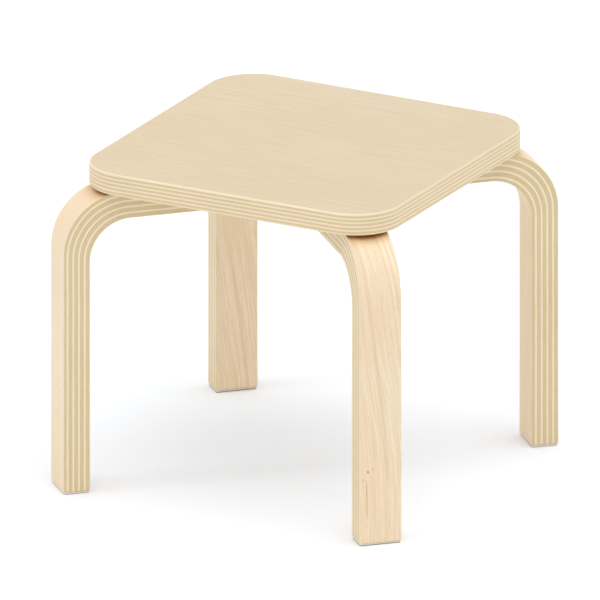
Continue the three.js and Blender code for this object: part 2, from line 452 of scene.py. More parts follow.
class Recipe:
    """A node tree, written as a chain of steps. A step returns the socket that it gives.

    The mix node has a pair of inputs for each kind of value, all of the same name, so they go by place.
    """

    NUMBERS = (2, 3)
    COLOURS = (6, 7)
    SEEN_RAYS = ("Is Camera Ray", "Is Glossy Ray", "Is Transmission Ray")

    def __init__(self, owner: bpy.types.Material | bpy.types.World) -> None:
        """Starts from the plain shader that a new material or world holds."""
        owner.use_nodes = True
        self.owner = owner
        self.tree = owner.node_tree

    def node(self, kind: str, inputs: dict[str | int, Feed], **options: str) -> bpy.types.NodeOutputs:
        """Adds a node.

        Args:
            kind: The node's type, without the words that each type starts with.
            inputs: What each input takes, by its name or place: a socket, number, vector or colour.
            options: The node's own settings.

        Returns:
            The node's outputs.
        """
        added = self.tree.nodes.new(f"ShaderNode{kind}")
        for option, value in options.items():
            setattr(added, option, value)
        for key, value in inputs.items():
            self.feed(added.inputs[key], value)
        return added.outputs

    def feed(self, socket: bpy.types.NodeSocket, value: Feed) -> None:
        """Links a socket to an input, or sets the input to a value."""
        if isinstance(value, bpy.types.NodeSocket):
            self.tree.links.new(value, socket)
        else:
            socket.default_value = value

    def place(self) -> Feed:
        """Where the surface is in the stool's frame, in metres."""
        return self.node("TexCoord", {})["Object"]

    def grain(self) -> Feed:
        """The piece's own grain coordinates: along the grain, across it and below the outer face."""
        return self.node("Attribute", {}, attribute_name=GRAIN)["Vector"]

    def seen(self) -> Feed:
        """1 for a ray that is seen, straight or by way of a gloss, and 0 for one that carries light."""
        path, seen = self.node("LightPath", {}), 0.0
        for ray in self.SEEN_RAYS:
            seen = self.sum("MAXIMUM", path[ray], seen)
        return seen

    def split(self, vector: Feed) -> tuple[Feed, Feed, Feed]:
        """The three parts of a vector."""
        return tuple(self.node("SeparateXYZ", {0: vector}))

    def sum(self, operation: str, a: Feed, b: Feed = 0.0, c: Feed = 0.0) -> Feed:
        """One step of arithmetic on numbers."""
        return self.node("Math", {0: a, 1: b, 2: c}, operation=operation)[0]

    def apart(self, a: Feed, b: Feed) -> Feed:
        """How far apart two numbers are."""
        return self.sum("ABSOLUTE", self.sum("SUBTRACT", a, b))

    def swing(self, pattern: Feed, size: float, onto: Feed = 0.0) -> Feed:
        """A pattern of 0 to 1 that swings a number up and down by a size."""
        return self.sum("MULTIPLY_ADD", self.sum("SUBTRACT", pattern, 0.5), size * 2, onto)

    def held(self, value: Feed) -> Feed:
        """A number held between 0 and 1."""
        return self.node("Clamp", {0: value})[0]

    def noise(self, vector: Feed, noise: Noise) -> Feed:
        """Noise between 0 and 1 at a place."""
        scaled = self.node("VectorMath", {0: vector, 1: noise.scale}, operation="MULTIPLY")[0]
        inputs = {"Vector": scaled, "Scale": 1.0, "Detail": noise.detail, "Roughness": noise.roughness}
        return self.node("TexNoise", inputs)[0]

    def remap(self, value: Feed, low: float, high: float, to: Span = (0.0, 1.0), eased: bool = True) -> Feed:
        """A number taken from one range to another, evenly or eased, and held at its ends."""
        inputs = {"Value": value, "From Min": low, "From Max": high, "To Min": to[0], "To Max": to[1]}
        easing = "SMOOTHSTEP" if eased else "LINEAR"
        return self.node("MapRange", inputs, interpolation_type=easing)[0]

    def blend(self, share: Feed, a: Feed | Tone, b: Feed | Tone, kind: str = "MIX") -> Feed:
        """The first colour with a share of the second, mixed in or, as the kind says, multiplied by it."""
        colours = (linear(colour) if isinstance(colour, tuple) else colour for colour in (a, b))
        inputs = {"Factor": share, **dict(zip(self.COLOURS, colours))}
        return self.node("Mix", inputs, data_type="RGBA", blend_type=kind)[2]


@dataclass(frozen=True)
class Sheen:
    """How a finish shines: its roughness, what a pattern adds to it, and a fine relief and its strength."""

    roughness: float
    added: float
    relief: float
    strength: float
    metallic: float = 0.0

    def on(self, mix: Recipe, colour: Feed, pattern: Feed, height: Feed) -> bpy.types.Material:
        """Feeds the shader.

        Args:
            mix: The finish's recipe.
            colour: The base colour.
            pattern: What makes it rougher, from 0 to 1.
            height: Where the relief stands, as a share of its size.

        Returns:
            The finished material.
        """
        shader = mix.tree.nodes["Principled BSDF"].inputs
        bump = {"Height": height, "Distance": self.relief, "Strength": self.strength}
        mix.feed(shader["Base Color"], colour)
        mix.feed(shader["Roughness"], mix.sum("MULTIPLY_ADD", pattern, self.added, self.roughness))
        mix.feed(shader["Normal"], mix.node("Bump", bump)[0])
        mix.feed(shader["Metallic"], self.metallic)
        return mix.owner


@dataclass(frozen=True)
class FloorLight:
    """The lowest few millimetres of a leg, painted paler for the floor's light that falls on them."""

    none_at: float = 2.6 * MM
    full_at: float = 1.3 * MM
    tone: Tone = (255, 241, 216)
    share: float = 0.3

    def on(self, mix: Recipe, colour: Feed) -> Feed:
        """A colour with this painted light on it."""
        # Painted light, stronger towards the floor.
        lit = mix.remap(mix.split(mix.place())[2], self.none_at, self.full_at, (0.0, self.share))
        return mix.blend(lit, colour, self.tone)


@dataclass(frozen=True)
class Overhang:
    """The crevice under the seat's edge where a leg runs in: painted shade, and a painted warm cast before
    it.

    The warm cast stands in for light thrown from the seat. It starts outside the seat's outline and is
    full where the painted shade starts. Both are on the leg's outer face alone, so they end a few
    millimetres below it.
    """

    # Tones of the painted warm cast and the painted shade, and where each starts and is full.
    painted_warm_cast: Tone = (250, 238, 219)
    painted_shade: Tone = (175, 144, 86)
    tinge_start: float = -6 * MM
    painted_shade_start: float = 0.8 * MM
    painted_shade_full: float = 6 * MM
    depth_clear: float = 12 * MM
    depth_full: float = 6 * MM

    def on(self, mix: Recipe, colour: Feed) -> Feed:
        """A colour with the painted warm cast and the painted shade.

        How far a point lies inside the seat's outline is the corner radius, less the distance by which
        its place, folded into one quarter, passes the corner's centre.

        Args:
            mix: The finish's recipe.
            colour: The colour without them.

        Returns:
            The colour with them.
        """
        centre = Node(SEAT_NODE).size / 2 - Seat.corner_radius
        x, y = (
            mix.sum("MAXIMUM", mix.sum("SUBTRACT", mix.sum("ABSOLUTE", at), float(start)), 0.0)
            for at, start in zip(mix.split(mix.place())[:2], centre)
        )
        squares = mix.sum("MULTIPLY_ADD", x, x, mix.sum("MULTIPLY", y, y))
        inside = mix.sum("SUBTRACT", Seat.corner_radius, mix.sum("SQRT", squares))
        outer = mix.remap(mix.split(mix.grain())[2], self.depth_clear, self.depth_full)
        # Multiplies in the painted warm cast, then the painted shade.
        for tone, start, full in ((self.painted_warm_cast, self.tinge_start, self.painted_shade_start),
                                  (self.painted_shade, self.painted_shade_start, self.painted_shade_full)):
            share = mix.sum("MULTIPLY", outer, mix.remap(inside, start, full))
            colour = mix.blend(share, colour, tone, "MULTIPLY")
        return colour


@dataclass(frozen=True)
class GrainMark:
    """A darker streak or a pin knot: a stretch of one leg's grain line, by its distances from the foot."""

    corner: Corner
    start: float
    end: float
    across: float
    half_width: float
    share: float
    fade: float = 8 * MM

    def weight(self, mix: Recipe, along: Feed, across: Feed) -> Feed:
        """How strongly the mark shows at a place.

        Args:
            mix: The finish's recipe.
            along: The place along the grain.
            across: The place across the grain.

        Returns:
            The socket, from 0 to the mark's share, with soft ends and sides.
        """
        half = (self.end - self.start) / 2
        passed = mix.apart(along, self.corner.sheet_start + self.start + half)
        inside = mix.remap(passed, half, half - min(self.fade, half))
        beside = mix.remap(mix.apart(across, self.across), self.half_width, 0.0, (0.0, self.share))
        return mix.sum("MULTIPLY", inside, beside)


@dataclass(frozen=True)
class Veneer:
    """Sliced pale veneer under satin lacquer: growth lines, streaks, fibres, flecks and cloudy patches.

    A leg's veneer also has marks, one leg with a quieter grain, painted shade under the seat and painted
    light at the foot.
    """

    name: str
    pale: Tone
    deep: Tone
    warm: Tone
    line_spacing: float
    line_share: float
    streak_width: float
    streak_length: float
    streak_share: float
    fibre_width: float
    fibre_share: float
    cloud_share: float
    warm_share: float
    overhang: Overhang | None = None
    marks: tuple[GrainMark, ...] = ()
    mark_tone: Tone = (196, 156, 108)
    mark_broken: Span = (0.4, 1.2)
    quiet: Corner | None = None
    quiet_share: float = 0.72
    quiet_middle: float = 200 * MM
    quiet_reach: float = 350 * MM
    depth_of_tone: float = 0.31
    wander: float = 9 * MM
    wandering: Noise = Noise((5.0, 16.0, 40.0), 1.5, 0.45)
    line_detail: float = 3.0
    line_roughness: float = 0.6
    streak_detail: float = 2.0
    streak_roughness: float = 0.55
    fibres_along: float = 60.0
    fibre_roughness: float = 0.6
    clouds: Noise = Noise((7.0, 20.0, 30.0))
    warm_span: Span = (0.35, 0.7)
    flecks: Noise = Noise((260.0, 2400.0, 1800.0), 1.0)
    fleck_span: Span = (0.60, 0.74)
    fleck_share: float = 0.30
    streak_relief: float = 0.5
    sheen: Sheen = Sheen(roughness=0.41, added=0.10, relief=0.02 * MM, strength=0.6)

    def material(self) -> bpy.types.Material:
        """Builds the veneer.

        Growth lines are noise along one number: the place across the grain plus a slow wander, so they
        run on unbroken and close into tongues where the wander is steep. Streaks, fibres and flecks are
        noise drawn out along the grain, and the patches are broad noise that also turns it warmer.

        Returns:
            The material.
        """
        mix = Recipe(bpy.data.materials.new(self.name))
        place = mix.grain() if self.overhang else mix.place()
        along, across, depth = mix.split(place)
        wandered = mix.swing(mix.noise(place, self.wandering), self.wander, across)
        line = {"W": mix.sum("MULTIPLY", wandered, 1 / self.line_spacing), "Scale": 1.0,
                "Detail": self.line_detail, "Roughness": self.line_roughness}
        lines = mix.node("TexNoise", line, noise_dimensions="1D")[0]
        bent = mix.node("CombineXYZ", {0: along, 1: wandered, 2: depth})[0]
        thin, fine = 1 / self.streak_width, 1 / self.fibre_width
        drawn_out = Noise((1 / self.streak_length, thin, thin), self.streak_detail, self.streak_roughness)
        streaks = mix.noise(bent, drawn_out)
        fibres = mix.noise(bent, Noise((self.fibres_along, fine, fine), roughness=self.fibre_roughness))
        clouds = mix.noise(place, self.clouds)
        flecks = mix.remap(mix.noise(bent, self.flecks), *self.fleck_span)

        drawn = 0.0
        for pattern, share in ((lines, self.line_share), (streaks, self.streak_share),
                               (fibres, self.fibre_share), (clouds, self.cloud_share)):
            drawn = mix.swing(pattern, share, drawn)
        if self.quiet:
            off = mix.apart(along, self.quiet.sheet_start + self.quiet_middle)
            kept = mix.remap(off, 0.0, self.quiet_reach, (self.quiet_share, 1.0))
            drawn = mix.sum("MULTIPLY", drawn, kept)
        colour = mix.blend(mix.held(mix.sum("ADD", drawn, self.depth_of_tone)), self.pale, self.deep)
        colour = mix.blend(mix.remap(clouds, *self.warm_span, (0.0, self.warm_share)), colour, self.warm)
        colour = mix.blend(mix.sum("MULTIPLY", flecks, self.fleck_share), colour, self.deep, "MULTIPLY")
        if self.overhang:
            dark = 0.0
            for mark in self.marks:
                dark = mix.sum("MAXIMUM", dark, mark.weight(mix, along, across))
            least, swings = self.mark_broken
            dark = mix.sum("MULTIPLY", dark, mix.sum("MULTIPLY_ADD", streaks, swings, least))
            # Painted shade under the seat's overhang, then painted floor light at the foot.
            colour = self.overhang.on(mix, mix.blend(dark, colour, self.mark_tone, "MULTIPLY"))
            colour = FloorLight().on(mix, colour)
        height = mix.sum("MULTIPLY_ADD", streaks, self.streak_relief, fibres)
        return self.sheen.on(mix, colour, streaks, height)


@dataclass(frozen=True)
class Arris:
    """The seat's upper edge: a painted highlight along the front, giving way to a painted shade from there
    back.
    """

    # Painted highlight tone at the front and painted shade tone at the back.
    highlit: Tone = (249, 233, 199)
    shaded: Tone = (239, 222, 190)
    depth: float = 1.15 * MM
    full_share: float = 0.8
    highlit_at: float = -128 * MM
    shaded_at: float = -80 * MM

    def on(self, mix: Recipe, colour: Feed, depth: Feed) -> Feed:
        """A colour with the arris's painted highlight and shade near the top, given the depth below it."""
        # The share of painted highlight, full at the front and gone towards the back.
        highlit = mix.remap(mix.split(mix.place())[1], self.shaded_at, self.highlit_at)
        eased = mix.remap(depth, self.depth, self.depth * self.full_share)
        return mix.blend(eased, colour, mix.blend(highlit, self.shaded, self.highlit))


@dataclass(frozen=True)
class LaminatedEdge:
    """The cut edge of glued veneers: dark and light plies, each with its own hue, between glue lines.

    A seat's plies are counted down from its top, and a leg's in from its outer face.
    """

    name: str
    light: Tone
    dark: Tone
    glue: Tone
    ply: float
    first_light: float
    light_every: float
    blush_share: float
    top: float | None = None
    blush: Tone = (255, 236, 226)
    blush_span: Span = (0.42, 0.62)
    hues: Noise = Noise((5.0, 5.0, 420.0), 1.0)
    uneven: float = 0.10
    wavering: Noise = Noise((30.0, 30.0, 60.0))
    edge_blur: float = 0.14
    glue_width: float = 0.10
    glue_share: float = 0.25
    fibres: Noise = Noise((45.0, 45.0, 1500.0), 2.5, 0.6)
    fibre_share: float = 0.17
    clouds: Noise = Noise((14.0, 14.0, 14.0))
    cloud_share: float = 0.10
    depth_of_tone: float = 0.05
    ends: Noise = Noise((340.0, 340.0, 1900.0), 1.5)
    end_span: Span = (0.45, 0.75)
    end_share: float = 0.14
    end_share_light: float = -0.09
    end_depth: float = 0.6
    sheen: Sheen = Sheen(roughness=0.46, added=0.12, relief=0.03 * MM, strength=0.6)

    def material(self) -> bpy.types.Material:
        """Builds the edge.

        The depth below the outer face, counted in plies, is folded to a distance from the nearest light
        ply. Half a ply from its middle the light ply meets the dark one, at a thin glue line. Noise drawn
        out along the plies gives each one its own hue, fibres and open cell ends.

        Returns:
            The material.
        """
        mix = Recipe(bpy.data.materials.new(self.name))
        place = mix.place() if self.top else mix.grain()
        depth = mix.split(place)[2]
        if self.top:
            depth = mix.sum("SUBTRACT", self.top, depth)
        counted = mix.sum("MULTIPLY", depth, 1 / self.ply)
        plies = mix.swing(mix.noise(place, self.wavering), self.uneven, counted)
        folded = mix.sum("PINGPONG", mix.sum("SUBTRACT", plies, self.first_light), self.light_every / 2)
        light = mix.remap(folded, HALF_PLY + self.edge_blur, HALF_PLY - self.edge_blur)
        fibres = mix.noise(place, self.fibres)
        ends = mix.remap(mix.noise(place, self.ends), *self.end_span)
        hue = mix.remap(mix.noise(place, self.hues), *self.blush_span)

        colour = mix.blend(light, self.dark, self.light)
        colour = mix.blend(mix.sum("MULTIPLY", hue, self.blush_share), colour, self.blush, "MULTIPLY")
        glued = mix.remap(mix.apart(folded, HALF_PLY), self.glue_width, 0.0, (0.0, self.glue_share))
        colour = mix.blend(glued, colour, self.glue)
        if self.top:
            # The seat's arris takes its painted highlight and painted shade.
            colour = Arris().on(mix, colour, depth)
        shade = mix.swing(fibres, self.fibre_share, self.depth_of_tone)
        shade = mix.swing(mix.noise(place, self.clouds), self.cloud_share, shade)
        open_share = mix.sum("MULTIPLY_ADD", light, self.end_share_light, self.end_share)
        shade = mix.held(mix.sum("MULTIPLY_ADD", ends, open_share, shade))
        colour = mix.blend(shade, colour, self.glue)
        if not self.top:
            # Painted floor light on the leg's lowest plies.
            colour = FloorLight().on(mix, colour)
        height = mix.sum("SUBTRACT", fibres, mix.sum("MULTIPLY", ends, self.end_depth))
        return self.sheen.on(mix, colour, fibres, height)


@dataclass(frozen=True)
class ZincPlate:
    """Bright zinc plate on steel: bluish, faintly cloudy, with fine turning marks and dull spots."""

    bright: Tone = (206, 210, 214)
    dull: Tone = (158, 160, 162)
    clouds: Noise = Noise((260.0, 260.0, 260.0), 3.0, 0.6)
    rings: Noise = Noise((300.0, 300.0, 9000.0))
    spots: Noise = Noise((1500.0, 1500.0, 1500.0), 1.0)
    spot_span: Span = (0.62, 0.75)
    spot_share: float = 0.5
    sheen: Sheen = Sheen(roughness=0.18, added=0.22, relief=0.004 * MM, strength=0.5, metallic=1.0)

    def material(self) -> bpy.types.Material:
        """Builds the plate from broad clouds, fine rings of equal height and small dull spots.

        Returns:
            The material.
        """
        mix = Recipe(bpy.data.materials.new("zinc_plate"))
        place = mix.place()
        spots = mix.remap(mix.noise(place, self.spots), *self.spot_span)
        dull = mix.held(mix.sum("MULTIPLY_ADD", spots, self.spot_share, mix.noise(place, self.clouds)))
        colour = mix.blend(dull, self.bright, self.dull)
        return self.sheen.on(mix, colour, dull, mix.noise(place, self.rings))


@dataclass(frozen=True)
class TurnedBrass:
    """Plain turned metal of the inserts: yellow, ringed by the tool, with brown tarnish in the grooves."""

    bright: Tone = (205, 176, 112)
    tarnish: Tone = (142, 110, 62)
    rings: Noise = Noise((120.0, 120.0, 12000.0))
    ring_share: float = 0.4
    patches: Noise = Noise((420.0, 420.0, 420.0), 3.0, 0.6)
    patch_share: float = 0.8
    tarnish_span: Span = (0.4, 0.85)
    sheen: Sheen = Sheen(roughness=0.24, added=0.25, relief=0.006 * MM, strength=0.6, metallic=1.0)

    def material(self) -> bpy.types.Material:
        """Builds the metal from rings of equal height and patches of tarnish.

        Returns:
            The material.
        """
        mix = Recipe(bpy.data.materials.new("turned_brass"))
        place = mix.place()
        rings = mix.noise(place, self.rings)
        patches = mix.sum("MULTIPLY", mix.noise(place, self.patches), self.patch_share)
        share = mix.remap(mix.sum("MULTIPLY_ADD", rings, self.ring_share, patches), *self.tarnish_span)
        colour = mix.blend(share, self.bright, self.tarnish)
        return self.sheen.on(mix, colour, share, rings)


@dataclass(frozen=True)
class MouldedNylon:
    """Natural moulded nylon of the foot pads: greyish white, faintly cloudy, scuffed and fine-textured.

    The lowest edge has painted contact shade, more under the two feet on the diagonal where x + y is 0.
    """

    clean: Tone = (248, 240, 226)
    cloudy: Tone = (238, 229, 212)
    scuffed: Tone = (212, 202, 182)
    # Tone of the painted contact shade at the pad's lowest edge.
    contact_shade: Tone = (120, 104, 84)
    clouds: Noise = Noise((90.0, 90.0, 90.0), 2.5)
    sparks: Noise = Noise((3200.0, 3200.0, 3200.0), 1.0)
    scuffs: Noise = Noise((900.0, 160.0, 400.0), 3.0, 0.65)
    scuff_span: Span = (0.56, 0.72)
    scuff_share: float = 0.4
    contact_shade_heights: Span = (1.0 * MM, 0.5 * MM)
    contact_shade_reach: Span = (40 * MM, 160 * MM)
    contact_shade_shares: Span = (0.85, 0.45)
    sheen: Sheen = Sheen(roughness=0.50, added=0.15, relief=0.01 * MM, strength=0.5)

    def material(self) -> bpy.types.Material:
        """Builds the nylon from broad clouds, fine sparks, drawn-out scuffs and the painted contact shade.

        Returns:
            The material.
        """
        mix = Recipe(bpy.data.materials.new("moulded_nylon"))
        place = mix.place()
        x, y, height = mix.split(place)
        scuffs = mix.remap(mix.noise(place, self.scuffs), *self.scuff_span)
        colour = mix.blend(mix.noise(place, self.clouds), self.clean, self.cloudy)
        colour = mix.blend(mix.sum("MULTIPLY", scuffs, self.scuff_share), colour, self.scuffed)
        # Painted contact shade at the lowest edge, deeper on the x + y = 0 diagonal.
        off = mix.sum("ABSOLUTE", mix.sum("ADD", x, y))
        most = mix.remap(off, *self.contact_shade_reach, self.contact_shade_shares)
        contact_shade_share = mix.sum("MULTIPLY", mix.remap(height, *self.contact_shade_heights), most)
        colour = mix.blend(contact_shade_share, colour, self.contact_shade)
        return self.sheen.on(mix, colour, scuffs, mix.noise(place, self.sparks))


Finish = Veneer | LaminatedEdge | ZincPlate | TurnedBrass | MouldedNylon

SEAT_FACE = Veneer(
    "seat_face_veneer", pale=(226, 208, 177), deep=(198, 176, 138), warm=(222, 199, 162),
    line_spacing=3.8 * MM, line_share=0.22, streak_width=3.4 * MM, streak_length=40 * MM,
    streak_share=0.22, fibre_width=0.9 * MM, fibre_share=0.10, cloud_share=0.19, warm_share=0.40,
)
LEG_FACE = Veneer(
    "leg_face_veneer", pale=(255, 237, 207), deep=(218, 187, 146), warm=(248, 221, 184),
    line_spacing=1.9 * MM, line_share=0.42, streak_width=0.85 * MM, streak_length=50 * MM,
    streak_share=0.50, fibre_width=0.5 * MM, fibre_share=0.34, cloud_share=0.24, warm_share=0.5,
    overhang=Overhang(), quiet=Corner.FRONT_LEFT, marks=(
        GrainMark(Corner.FRONT_RIGHT, 45 * MM, 250 * MM, 6.0 * MM, 2.6 * MM, 0.17),
        GrainMark(Corner.FRONT_RIGHT, 16 * MM, 52 * MM, -10.9 * MM, 0.8 * MM, 0.40),
        GrainMark(Corner.FRONT_RIGHT, 54.4 * MM, 57.8 * MM, -9.4 * MM, 0.9 * MM, 1.7),
        GrainMark(Corner.FRONT_RIGHT, 56.6 * MM, 59.0 * MM, -5.4 * MM, 0.6 * MM, 1.2),
        GrainMark(Corner.FRONT_RIGHT, 48.8 * MM, 51.4 * MM, -13.6 * MM, 0.6 * MM, 0.9),
        GrainMark(Corner.BACK_LEFT, -4 * MM, 125 * MM, -8.6 * MM, 2.4 * MM, 0.17),
    ),
)
LEG_EDGE = LaminatedEdge(
    "leg_edge_plies", light=(254, 238, 212), dark=(226, 208, 163), glue=(176, 146, 104),
    ply=1.5 * MM, first_light=2.5, light_every=3.0, blush_share=0.16,
)


@dataclass
class Seat:
    """The seat panel: eleven plies under a face veneer, with eased edges and eight blind insert holes."""

    corner_radius: float = 37.2 * MM
    edge_ease: float = 1.2 * MM
    plies: int = 11
    insert_gap: float = 0.3 * MM
    insert_end_space: float = 1 * MM
    corner_steps: int = 32
    ease_steps: int = 6
    hole_steps: int = 48

    def edge(self, panel: Node) -> LaminatedEdge:
        """The laminated edge's finish, whose plies are counted from the panel's top."""
        return LaminatedEdge(
            "seat_edge_plies", light=(248, 230, 197), dark=(226, 205, 165), glue=(176, 146, 100),
            ply=(panel.top - panel.bottom) / self.plies, first_light=0.5, light_every=2.0,
            blush_share=0.10, top=panel.top,
        )

    def build(self) -> None:
        """Makes the panel: a rounded outline lifted along an eased side, with the holes let into it."""
        panel = Node(SEAT_NODE)
        bottom, top, ease = panel.bottom, panel.top, self.edge_ease
        outline = Outline.rounded(*panel.size[:2], self.corner_radius, self.corner_steps)
        body = Patchwork(SEAT_NODE)
        body.loft(outline, Profile.eased(bottom, top, ease, self.ease_steps), EDGE)
        body.flat([outline.ring(ease, top)], UP)

        underside = [outline.ring(ease, bottom)]
        for corner in Corner:
            for place in BoltPlace:
                insert = Node(f"threaded_insert_{corner.title}_{place.value}")
                radius = insert.radius + self.insert_gap
                ceiling = insert.top + self.insert_end_space
                hole = Outline.circle(radius, self.hole_steps, *insert.middle[:2])
                body.loft(hole, Profile(radius, ceiling).to(0, ceiling).to(0, bottom), EDGE)
                underside.append(hole.ring(0, bottom))
        body.flat(underside, DOWN)
        body.build([SEAT_FACE, self.edge(panel)], "seat_plywood")


@dataclass
class ScrewSpace:
    """A foot's countersunk wood screw as sizes, and the space that the pad and the leg leave round it."""

    corner: Corner
    head_radius: float = 3 * MM
    head_height: float = 1.4 * MM
    head_rim: float = 0.2 * MM
    shank_radius: float = 1.5 * MM
    gap: float = 0.3 * MM
    end_space: float = 1 * MM
    steps: int = 40

    def __post_init__(self) -> None:
        """Works out the screw's heights from its node's box."""
        self.screw = Node(f"foot_screw_{self.corner.title}")
        self.reach = self.screw.reach
        self.cone_bottom = self.screw.bottom + self.head_rim
        self.cone_top = self.cone_bottom + self.head_height
        self.neck = self.head_radius - self.shank_radius
        self.mouth = Outline.circle(self.head_radius + self.gap, self.steps, self.reach)

    def inset_at(self, height: float) -> float:
        """How far the space has drawn in from its mouth at a height: by the neck, evenly over the cone."""
        return float(np.interp(height, [self.cone_bottom, self.cone_top], [0, self.neck]))

    def in_pad(self, bottom: float, top: float) -> Profile:
        """The wall of the pad's hole, walked down from the pad's top to its underside."""
        return Profile(self.inset_at(top), top).to(0, self.cone_bottom).to(0, bottom)

    def in_leg(self, bottom: float) -> Profile:
        """The leg's blind hole, walked from the middle of its ceiling down to the leg's end.

        Args:
            bottom: The height of the leg's end.

        Returns:
            The profile.
        """
        ceiling = self.screw.top + self.end_space
        wall = Profile(self.head_radius + self.gap, ceiling).to(self.neck, ceiling)
        return wall.to(self.neck, max(self.cone_top, bottom)).to(self.inset_at(bottom), bottom)


@dataclass(frozen=True)
class Drift:
    """How far a leg's grain runs off its long axis, between two distances from the foot."""

    size: float = 0.0
    start: float = 0.0
    end: float = 1.0

    def at(self, walked: Array) -> Array:
        """The drift at a distance: its size times t * t * (3 - 2 * t), with t from 0 at the start to 1."""
        share = np.clip((walked - self.start) / (self.end - self.start), 0, 1)
        return self.size * share * share * (3 - 2 * share)


@dataclass
class Leg:
    """One bent lamination: an upright, a bend whose two curves have their own centres, and an arm."""

    corner: Corner
    width: float = 33 * MM
    upright_thickness: float = 21 * MM
    arm_thickness: float = 22 * MM
    outer_radius: float = 48 * MM
    inner_radius: float = 32 * MM
    arris: float = 0.8 * MM
    foot_chamfer: float = 0.3 * MM
    end_ease: float = 0.8 * MM
    bolt_hole: float = 3.4 * MM
    counterbore: float = 6.6 * MM
    counterbore_depth: float = 8 * MM
    upright_steps: int = 40
    bend_steps: int = 72
    arris_steps: int = 4
    hole_steps: int = 64
    foot_rows: ClassVar[int] = 3
    drifts: ClassVar[dict[Corner, Drift]] = {
        Corner.FRONT_RIGHT: Drift(20 * MM, 30 * MM, 260 * MM),
        Corner.BACK_LEFT: Drift(-22 * MM, -20 * MM, 200 * MM),
    }
    ply_shifts: ClassVar[dict[Corner, float]] = {
        Corner.FRONT_LEFT: 0.645 * MM,
        Corner.BACK_RIGHT: -0.6 * MM,
        Corner.FRONT_RIGHT: -1.75 * MM,
        Corner.BACK_LEFT: -1.95 * MM,
    }

    def __post_init__(self) -> None:
        """Works out the leg's reaches and heights from its node's box.

        With a sharp corner, the box's side times root 2 would be the reach plus half the width. The eased
        arris makes that less by arris * (2 - root 2).
        """
        self.node = Node(f"leg_{self.corner.title}")
        low, high = np.abs(self.node.low), np.abs(self.node.high)
        far, near = np.maximum(low, high)[0], np.minimum(low, high)[0]
        eased = self.arris * (2 - math.sqrt(2))
        self.bottom, self.top = self.node.bottom, self.node.top
        self.underside = self.top - self.arm_thickness
        self.outer_reach = float(far * math.sqrt(2) - self.width / 2 + eased)
        self.inner_reach = self.outer_reach - self.upright_thickness
        self.end_reach = float(near * math.sqrt(2) + self.width / 2 - eased)
        self.upright_rows = self.foot_rows + self.upright_steps - 1
        self.arm_row = self.upright_rows + self.bend_steps
        self.arm_start = 0.0

    def grain(self, walked: Array, across: Array, depth: Array) -> Array:
        """The grain coordinates of a place given by its walk from the foot, with drift and ply shift."""
        bent = across + self.drifts.get(self.corner, Drift()).at(walked)
        shifted = depth + self.ply_shifts[self.corner]
        return np.stack([self.corner.sheet_start + walked, bent, shifted], axis=-1)

    def arm_grain(self, places: Array) -> Array:
        """The grain coordinates of places in the arm, whose depth is a share of the upright's thickness."""
        walked = self.arm_start + self.inner_reach - self.inner_radius - places[..., 0]
        depth = (self.top - places[..., 2]) * self.upright_thickness / self.arm_thickness
        return self.grain(walked, places[..., 1], depth)

    def foot_grain(self, places: Array) -> Array:
        """The grain coordinates of places in the foot."""
        return self.grain(places[..., 2] - self.bottom, places[..., 1], self.outer_reach - places[..., 0])

    def curve(self, reach: float, height: float, radius: float) -> Array:
        """One side of the leg, walked up the upright, round the bend and in to the arm's free end.

        In the bend its points are centre + radius * (cos, sin) of the bend's angle.

        Args:
            reach: The upright's reach on this side.
            height: The arm's height on this side.
            radius: The bend's radius.

        Returns:
            Rows of reach and height: three at the foot, then the upright, the bend and the eased end.
        """
        centre = np.array([reach, height]) - radius
        foot = self.bottom + np.array([0, self.foot_chamfer, self.foot_chamfer])
        rise = np.arange(1, self.upright_steps) / self.upright_steps
        heights = np.append(foot, foot[-1] + (centre[1] - foot[-1]) * rise)
        turn = np.linspace(0, QUARTER, self.arris_steps + 1)
        end = self.end_reach + self.end_ease * (1 - np.sin(turn))
        return np.concatenate([
            np.column_stack([np.full(len(heights), reach), heights]),
            centre + radius * rays(np.linspace(0, QUARTER, self.bend_steps + 1)),
            np.column_stack([end, np.full(len(end), height)]),
        ])

    def surface(self) -> tuple[Array, Array, Array]:
        """The rounded cross section at every station of the walk.

        Its points lie about four inner corners, one for each quarter turn: corner + arris * (cos across,
        sin towards the outer face). An inset draws it in at the foot's chamfer and the arm's eased end,
        and a tilt turns its normals there towards the way that the walk goes.

        Returns:
            The places, normals and grain coordinates, stations by ring points by 3.
        """
        outer = self.curve(self.outer_reach, self.top, self.outer_radius)
        inner = self.curve(self.inner_reach, self.underside, self.inner_radius)
        bend = rays(np.linspace(0, QUARTER, self.bend_steps + 1))
        before, after = self.upright_rows, self.arris_steps + 1
        normal = np.concatenate([np.tile([1, 0], (before, 1)), bend, np.tile([0, 1], (after, 1))])
        way = np.stack([-normal[:, 1], normal[:, 0]], axis=1)
        lengths = np.linalg.norm(np.diff((outer + inner) / 2, axis=0), axis=1)
        walked = np.concatenate([[0], np.cumsum(lengths)])
        self.arm_start = walked[self.arm_row]

        turn = np.linspace(0, QUARTER, after)
        inset, tilt = np.zeros(len(outer)), np.zeros(len(outer))
        inset[0] = self.foot_chamfer
        tilt[: self.foot_rows - 1] = -QUARTER / 2
        inset[-after:] = self.end_ease * (1 - np.cos(turn))
        tilt[-after:] = turn
        thickness = ((outer - inner) * normal).sum(axis=1)[:, None]

